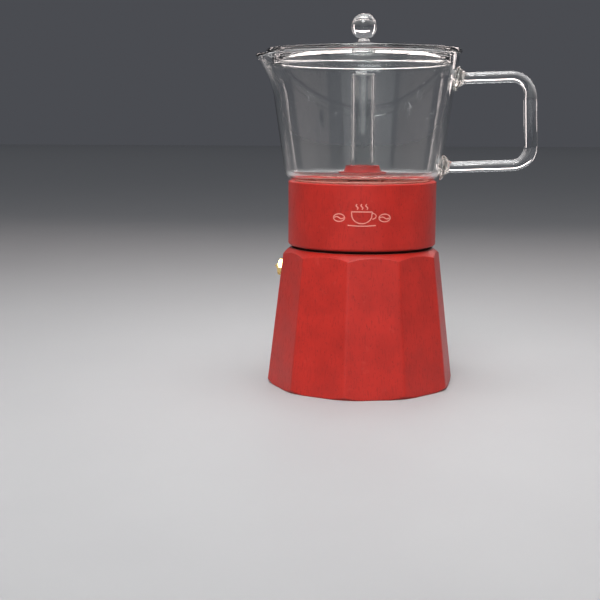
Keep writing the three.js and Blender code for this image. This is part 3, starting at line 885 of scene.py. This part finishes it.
def printed_line(name, path, width):
    """A line of ink along a flat path of (sideways, up) points, bent round the collar's front."""
    rings = []
    path = evenly([Vector(point) for point in path], 0.4)
    for i, point in enumerate(path):
        run = (path[min(i + 1, len(path) - 1)] - path[max(i - 1, 0)]).normalized()
        side = Vector((-run.y, run.x)) * width / 2
        ring = []
        for edge, lift in ((-1, -1), (1, -1), (1, 1), (-1, 1)):
            spot = point + side * edge
            angle = -math.pi / 2 + spot.x / collar_radius
            radius = collar_radius + ink_thickness * lift
            ring.append(
                Vector((radius * math.cos(angle), radius * math.sin(angle), print_height + spot.y))
            )
        rings.append(ring)
    made = skin(name, rings, caps=True)
    made.data.shade_flat()
    return made


def pale_ink():
    ink = Finish("pale_ink")
    thin = ink.between(ink.cloud(0.5, detail=3), 0.5, 0.75)
    return ink.done(
        Base_Color=ink.blend(thin, [0.72, 0.26, 0.21, 1], [0.6, 0.14, 0.11, 1]),
        Roughness=0.45 + thin * 0.1,
    )


def bent(middle, width, height, start, end):
    """Part of an ellipse as a path, between two angles in degrees."""
    turn = [math.radians(start + (end - start) * k / 24) for k in range(25)]
    return [(middle[0] + width * math.cos(a), middle[1] + height * math.sin(a)) for a in turn]


cup_bowl = [(-5.2, 1.8), *bent((0, 0.2), 5, 4.2, 180, 360), (5.2, 1.8), (-5.2, 1.8)]
cup_ear = bent((4.9, -0.3), 2.2, 1.5, 90, -80)
cup_saucer = [(-7, -4.9), (-2.4, -5.2), (2.4, -5.2), (7, -4.9)]
print_paths = [cup_bowl, cup_ear, cup_saucer]
for middle in (-2.4, 0, 2.4):
    wisp = [(middle + 0.5 * math.sin(math.tau * k / 16), 3 + 2.6 * k / 16) for k in range(17)]
    print_paths.append(wisp)
for middle in (-11.5, 11.5):
    print_paths.append(bent((middle, -1.2), 2.9, 1.9, 0, 360))
    split = [(middle - 2.5 + 5 * k / 16, -1.2 + 0.5 * math.sin(math.tau * k / 16)) for k in range(17)]
    print_paths.append(split)
ink = pale_ink()
for number, path in enumerate(print_paths):
    line = wear(printed_line(f"printed_cup_{number}", path, print_line), ink)
    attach(line, "upper")

# ---------------------------------------------------------------- jug seal
# A thin ring of milky silicone between the collar's top and the jug's foot. Its colour is set to a
# brick pink, in place of the red casting that shows through a clearer ring.

seal_outer = seal_high.x
seal_inner = seal_outer - 7.3
seal_outline = softened(
    [
        (seal_inner, seal_low.z, 0.3),
        (seal_outer, seal_low.z, 0.35),
        (seal_outer + 0.25, (seal_low.z + seal_high.z) / 2, 0.5),
        (seal_outer, seal_high.z, 0.35),
        (seal_inner, seal_high.z, 0.3),
    ],
    closed=True,
)
milky_silicone = soft_seal("milky_silicone", [0.5, 0.2, 0.16, 1], [0.42, 0.15, 0.12, 1], 0.3)
jug_seal = wear(turned("jug_seal_ring", seal_outline, closed=True), milky_silicone)
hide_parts("jug_seal")
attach(jug_seal, "upper")

# ---------------------------------------------------------------- jug and handle
# Blown borosilicate: a tapered jug with a fire-polished rim and a pulled spout. The handle is a solid
# glass rod, bent twice and melted onto the wall, where it leaves knotted blobs of glass.

jug_low, jug_high = corners("jug")
jug_foot = jug_low.z
jug_rim = jug_high.z
jug_wall = 2.4
jug_taper = math.radians(8.3)
jug_heel = 5.2
jug_flat = collar_radius - 3
jug_hole = spigot_radius + 0.5
hole_round = 0.5
rim_inset = 0.25
jug_floor = jug_foot + jug_wall
wall_start = Vector(
    (jug_flat + jug_heel * math.cos(jug_taper), jug_foot + jug_heel * (1 - math.sin(jug_taper)))
)
spout_reach = 7
spout_half_angle = math.radians(26)
spout_height = 20
handle_reach = 87.5
handle_lean = 0.04
handle_rise = 0.035
handle_lower = jug_foot + 6.2
handle_upper = jug_rim - 12.5
handle_bend = 9.5
arm_radius = 2.85
grip_radius = 3.5
knot_swell = 3.3
knot_reach = 2.7


def jug_outer(height):
    return wall_start.x + math.tan(jug_taper) * (height - wall_start.y)


def jug_inner(height):
    return jug_outer(height) - jug_wall / math.cos(jug_taper)


def spout_push(angle, height):
    """How far the pulled spout moves the wall outwards: most at the rim, opposite the handle."""
    off = abs((angle % math.tau) - math.pi) / spout_half_angle
    rise = (height - jug_rim + spout_height) / spout_height
    if off >= 1 or rise <= 0:
        return 0
    return spout_reach * math.cos(off * math.pi / 2) ** 2 * min(1, rise) ** 1.6


def arc(centre, radius, start, end, steps):
    """Points along an arc, from one angle to the other, in degrees."""
    turn = [math.radians(start + (end - start) * k / steps) for k in range(steps + 1)]
    return [Vector((centre[0] + radius * math.cos(a), centre[1] + radius * math.sin(a))) for a in turn]


def jug_outline(angle):
    bead = jug_wall / 2
    rim_middle = (jug_outer(jug_rim - bead) + jug_inner(jug_rim - bead)) / 2 - rim_inset
    slant = math.degrees(jug_taper)
    heel = (jug_flat, jug_foot + jug_heel)
    rows = 34
    heights = [wall_start.y + (jug_rim - bead - wall_start.y) * k / rows for k in range(1, rows)]
    points = arc((jug_hole + hole_round, jug_foot + hole_round), hole_round, 180, 270, 3)
    points += arc(heel, jug_heel, -90, -slant, 14)
    points += [Vector((jug_outer(height), height)) for height in heights]
    points += arc((rim_middle, jug_rim - bead), bead + 0.1, 0, 180, 12)
    points += [Vector((jug_inner(height), height)) for height in reversed(heights)]
    points += arc(heel, jug_heel - jug_wall, -slant, -90, 10)
    points += arc((jug_hole + hole_round, jug_floor - hole_round), hole_round, 90, 180, 3)
    return [p + Vector((spout_push(angle, p.y), 0)) for p in points]


def clear_glass():
    """Borosilicate: colourless, faintly drawn and wavy, and it lets lamps through to what is inside."""
    glass = Finish("clear_glass")
    waves = glass.cloud(9, detail=1, stretch=(1, 1, 5)) * 0.9 + glass.cloud(4, detail=1) * 0.1
    body = glass.surface(
        Base_Color=[0.985, 0.995, 0.99, 1],
        Roughness=0.0,
        IOR=1.473,
        Transmission_Weight=1.0,
        Normal=glass.bump(waves, 0.05),
    )
    lamp_ray = glass.node("ShaderNodeLightPath", output="Is Shadow Ray")
    through = glass.node("ShaderNodeBsdfTransparent", {}, {"Color": [0.93, 0.95, 0.945, 1]})
    return glass.done(glass.node("ShaderNodeMixShader", {}, {0: lamp_ray, 1: body, 2: through}))


def rod_path():
    """The rod's centre line in the plane of the handle, from inside one wall to inside the other."""
    lower_start = (jug_outer(handle_lower) - jug_wall / 2, handle_lower)
    upper_start = (jug_outer(handle_upper) - jug_wall / 2, handle_upper)
    lower_x = handle_reach
    upper_x = handle_reach - handle_lean * (handle_upper - handle_lower)
    lower_corner = (lower_x, handle_lower + handle_rise * (lower_x - lower_start[0]), handle_bend)
    upper_corner = (upper_x, handle_upper + handle_rise * (upper_x - upper_start[0]), handle_bend)
    return softened([lower_start, lower_corner, upper_corner, upper_start], steps=16)


def knot(point, out):
    """Lumps and crinkles where the rod was melted on: they fade out away from the wall."""
    fade = math.exp(-((out / knot_reach / 1.2) ** 4))
    return fade * (noise.noise(point / 0.9) * 0.5 + noise.noise(point / 2.6))


def glass_rod():
    path = evenly(rod_path(), 0.45)
    runs = [0.0]
    for start, end in zip(path, path[1:]):
        runs.append(runs[-1] + (end - start).length)
    arm = handle_reach - jug_outer(handle_lower) - handle_bend
    rings = []
    for i, point in enumerate(path):
        ahead = path[min(i + 1, len(path) - 1)] - path[max(i - 1, 0)]
        across = Vector((ahead.y, 0, -ahead.x)).normalized()
        out = min(runs[i], runs[-1] - runs[i]) - jug_wall / 2
        grip = limited((out - arm) / handle_bend)
        grip = grip * grip * (3 - 2 * grip)
        radius = arm_radius + (grip_radius - arm_radius) * grip
        ring = []
        for k in range(40):
            a = math.tau * k / 40
            spoke = across * math.cos(a) + Vector((0, math.sin(a), 0))
            off_wall = max(0, out - math.tan(jug_taper) * knot_swell * 2 * spoke.z)
            swell = knot_swell * math.exp(-((off_wall / knot_reach) ** 2.4))
            spot = Vector((point.x, 0, point.y)) + spoke * (radius + swell)
            ring.append(spot + spoke * knot(spot, out))
        rings.append(ring)
    return skin("glass_rod", rings, caps=True)


def fused(body, added):
    """Joins two closed pieces of glass into one skin."""
    weld = body.modifiers.new("weld", "BOOLEAN")
    weld.operation = "UNION"
    weld.solver = "EXACT"
    weld.object = added
    body.modifiers.move(len(body.modifiers) - 1, 0)
    shapes = bpy.context.evaluated_depsgraph_get()
    body.data = bpy.data.meshes.new_from_object(body.evaluated_get(shapes))
    body.modifiers.remove(body.modifiers["weld"])
    bpy.data.objects.remove(added)
    return body


def crinkled_glass():
    """The melted knots: the same glass, clouded by fine bubbles and crinkles."""
    knots = Finish("crinkled_glass")
    cloudy = knots.between(knots.cloud(1, detail=4), 0.45, 0.65)
    return knots.done(
        Base_Color=knots.blend(cloudy, [1, 0.98, 0.94, 1], [0.95, 0.88, 0.74, 1]),
        Roughness=0.02 + cloudy * 0.2,
        IOR=1.473,
        Transmission_Weight=0.88,
        Normal=knots.bump(knots.cloud(0.6, detail=3), 0.3),
    )


def near_knot(spot):
    out = spot.x - jug_outer(spot.z)
    return abs(spot.y) < 8 and 0.05 < out < knot_reach + 1.2


glass = clear_glass()
jug = turned("glass_jug", jug_outline, [math.tau * i / 240 for i in range(240)], closed=True)
jug = wear(fused(jug, glass_rod()), glass)
repaint(jug, crinkled_glass(), near_knot)
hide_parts("jug", "jug_handle")
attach(jug, "upper")

# ---------------------------------------------------------------- clamp nut and column
# A red bell-shaped nut screws onto the spigot and clamps the jug, with a washer under it. Its lip
# presses a ring against the clear glass tube, whose open top lets the coffee spill into the jug.
# The nut's lacquer is painted deeper than the collar's, as painted shade, because it pales behind the glass.

nut_low, nut_high = corners("clamp_nut")
nut_bore = spigot_radius + 0.3
nut_top_radius = nut_bore + 1
nut_flare = nut_top_radius + 3.7
nut_edge = 0.6
nut_lip = 1.1
nut_washer_outer = nut_bore + 4.2
ring_section = 0.55
ring_play = 0.15
column_top = corners("column_tube")[1].z


def nut_outline(angle):
    sweep = []
    steps = 14
    foot = Vector((nut_flare, nut_low.z + nut_edge))
    hollow = Vector((nut_top_radius + 0.9, nut_low.z + nut_edge))
    lip = Vector((nut_top_radius, nut_high.z - 0.7))
    for k in range(steps + 1):
        t = k / steps
        sweep.append(foot * (1 - t) ** 3 + hollow * 3 * t * (1 - t) + lip * t**3)
    wave = 0.1 * math.cos(8 * angle)
    crown = softened(
        [
            (sweep[-1].x, sweep[-1].y),
            (nut_top_radius + wave, nut_high.z, 0.55),
            (column_seat_radius, nut_high.z, 0.3),
            (column_seat_radius, nut_high.z - nut_lip, 0.1),
            (nut_bore, nut_high.z - nut_lip, 0.1),
            (nut_bore, nut_low.z, 0.2),
            (nut_flare - 0.3, nut_low.z, 0.2),
            (nut_flare, nut_low.z + nut_edge / 2),
        ]
    )
    return sweep + crown[1:]


# Painted shade: this darker copy of the collar's red lacquer makes the nut look less lit behind the glass.
shaded_nut_lacquer = red_lacquer("shaded_nut_lacquer", (0.2, 0.004, 0.0012), shine=0.08)
nut = wear(turned("clamp_nut_bell", nut_outline, closed=True), shaded_nut_lacquer)
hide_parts("clamp_nut")
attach(nut, "upper")

washer_ring_outline = softened(
    [
        (nut_bore, jug_floor, 0.2),
        (nut_washer_outer, jug_floor, 0.35),
        (nut_washer_outer, nut_low.z, 0.35),
        (nut_bore, nut_low.z, 0.2),
    ],
    closed=True,
)
nut_washer = wear(turned("nut_sealing_washer", washer_ring_outline, closed=True), milky_silicone)
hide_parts("nut_washer")
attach(nut_washer, "upper")

ring_middle = (column_radius + ring_play + ring_section, spigot_top + ring_section)
seal_ring = wear(
    turned("column_sealing_ring", arc(ring_middle, ring_section, 0, 345, 23), closed=True),
    milky_silicone,
)
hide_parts("column_seal_ring")
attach(seal_ring, "upper")

column_round = (column_radius - column_bore) / 2
column_outline = [Vector((column_bore, column_bottom)), Vector((column_radius, column_bottom))]
column_heights = [column_bottom + (column_top - column_round - column_bottom) * k / 12 for k in range(1, 12)]
column_outline += [Vector((column_radius, height)) for height in column_heights]
column_outline += arc((column_radius - column_round, column_top - column_round), column_round, 0, 180, 10)
column_outline += [Vector((column_bore, height)) for height in reversed(column_heights)]
column = wear(turned("glass_column", column_outline, closed=True), glass)
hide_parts("column_tube")
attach(column, "upper")

# ---------------------------------------------------------------- lid
# A crowned disc of the same glass lies loose on the rim. A skirt under it keeps it centred, and a
# solid glass ball, melted on in the middle, is its knob.

lid_low, lid_high = corners("lid")
knob_low, knob_high = corners("lid_knob")
lid_radius = lid_high.x
lid_sheet = 2.2
lid_crown = 3
skirt_radius = jug_inner(jug_rim - 6) - 0.9
knob_radius = 6.6
knob_neck = 3


def crown_height(radius, base):
    share = limited(radius / (skirt_radius - lid_sheet))
    return base + lid_crown * (1 - share**2.4)


crown_steps = [(skirt_radius - lid_sheet) * k / 16 for k in range(17)]
lid_under = [Vector((radius, crown_height(radius, jug_rim))) for radius in crown_steps]
lid_over = [Vector((radius, crown_height(radius, jug_rim + lid_sheet))) for radius in reversed(crown_steps)]
lid_edge = softened(
    [
        (skirt_radius - lid_sheet, jug_rim),
        (skirt_radius - lid_sheet, lid_low.z, 0.9),
        (skirt_radius, lid_low.z, 0.9),
        (skirt_radius, jug_rim, 0.4),
        (lid_radius, jug_rim, 1),
        (lid_radius, jug_rim + lid_sheet, 1),
        (skirt_radius, jug_rim + lid_sheet, 2),
        (skirt_radius - lid_sheet, jug_rim + lid_sheet),
    ],
    steps=6,
)
lid = wear(turned("glass_lid", lid_under + lid_edge[1:-1] + lid_over), glass)
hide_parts("lid")
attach(lid, "lid")

knob_middle = knob_high.z - knob_radius
neck_angle = math.degrees(math.asin(knob_neck / knob_radius))
ball = arc((0, knob_middle), knob_radius, -90 + neck_angle, 90, 28)[:-1]
knob_outline = softened(
    [(0, knob_low.z), (knob_neck + 1.2, knob_low.z, 0.3), (knob_neck, knob_low.z + 1.3, 1.5), tuple(ball[0])]
)
knob_outline += ball[1:] + [Vector((0, knob_high.z))]
knob = wear(turned("glass_knob", knob_outline), glass)
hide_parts("lid_knob")
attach(knob, "lid")

# ---------------------------------------------------------------- floor, light and camera
# A plain pale floor, soft studio lamps, and a camera a little above the collar.


def pale_floor():
    paint = Finish("pale_floor")
    mottle = paint.cloud(60, detail=4)
    return paint.done(
        Base_Color=paint.blend(mottle, [0.405, 0.41, 0.418, 1], [0.44, 0.445, 0.45, 1]),
        Roughness=0.55 + mottle * 0.1,
    )


floor_size = 6000
floor = skin(
    "floor",
    [
        [Vector((-floor_size, -floor_size, 0)), Vector((floor_size, -floor_size, 0))],
        [Vector((-floor_size, floor_size, 0)), Vector((floor_size, floor_size, 0))],
    ],
)
wear(floor, pale_floor())

sky = bpy.data.worlds.new("studio")
bpy.context.scene.world = sky
sky.use_nodes = True
sky.node_tree.nodes["Background"].inputs["Color"].default_value = (0.069, 0.072, 0.082, 1)


def soft_lamp(name, spot, target, width, height, watts, spread=180, colour=(1, 1, 1)):
    lamp = bpy.data.lights.new(name, "AREA")
    lamp.shape = "RECTANGLE"
    lamp.size = width
    lamp.size_y = height
    lamp.energy = watts
    lamp.spread = math.radians(spread)
    lamp.color = colour
    holder = bpy.data.objects.new(name, lamp)
    holder.location = spot
    holder.rotation_euler = (Vector(target) - Vector(spot)).to_track_quat("-Z", "Y").to_euler()
    holder.visible_camera = False
    bpy.context.collection.objects.link(holder)


warm_white = (1, 0.86, 0.83)
soft_lamp("front_panel", (-0.2, -1.6, 0.5), (0, 0, 0.1), 2.4, 0.8, 2.2, 120)
soft_lamp("key_lamp", (-0.1, -0.75, 0.85), (0, 0, 0.08), 0.5, 0.35, 2.25, 90)
soft_lamp("top_lamp", (0, -0.05, 0.95), (0, 0, 0), 0.5, 0.5, 1.3, 80)
soft_lamp("left_panel", (-1.3, -0.1, 0.6), (0, 0, 0.12), 1.7, 0.9, 1.15, 120, warm_white)
soft_lamp("right_panel", (1.3, -0.1, 0.6), (0, 0, 0.12), 1.7, 0.9, 1.4, 120, warm_white)
soft_lamp("left_back_panel", (-0.85, 0.95, 0.5), (0, 0, 0.1), 0.1, 0.9, 0.22, 80, warm_white)
soft_lamp("right_back_panel", (0.85, 1.05, 0.5), (0, 0, 0.1), 0.09, 0.9, 0.2, 80, warm_white)
soft_lamp("rim_lamp", (0.2, 1.6, 0.72), (0, 0, 0.12), 1.6, 0.14, 0.6, 60, warm_white)
soft_lamp("ceiling", (0, 0, 2.5), (0, 0, 0), 14, 14, 64, colour=(0.93, 0.96, 1))

bpy.context.scene.view_settings.view_transform = "Standard"

camera_distance = 0.6132
camera_height = 0.138
camera_yaw = -0.053
camera_pitch = 0.153
camera_roll = 0.0038
camera_lens = 69.6
camera_sensor = 36
ahead = Vector(
    (
        math.sin(camera_yaw) * math.cos(camera_pitch),
        math.cos(camera_yaw) * math.cos(camera_pitch),
        -math.sin(camera_pitch),
    )
)
level = Vector((math.cos(camera_yaw), -math.sin(camera_yaw), 0))
upright = level.cross(ahead)
right = level * math.cos(camera_roll) + upright * math.sin(camera_roll)
above = upright * math.cos(camera_roll) - level * math.sin(camera_roll)
camera = bpy.data.objects.new("camera", bpy.data.cameras.new("camera"))
camera.data.sensor_width = camera_sensor
camera.data.lens = camera_lens
camera.matrix_world = Matrix.Translation((0, -camera_distance, camera_height)) @ Matrix(
    (right, above, -ahead)
).transposed().to_4x4()
bpy.context.collection.objects.link(camera)
bpy.context.scene.camera = camera
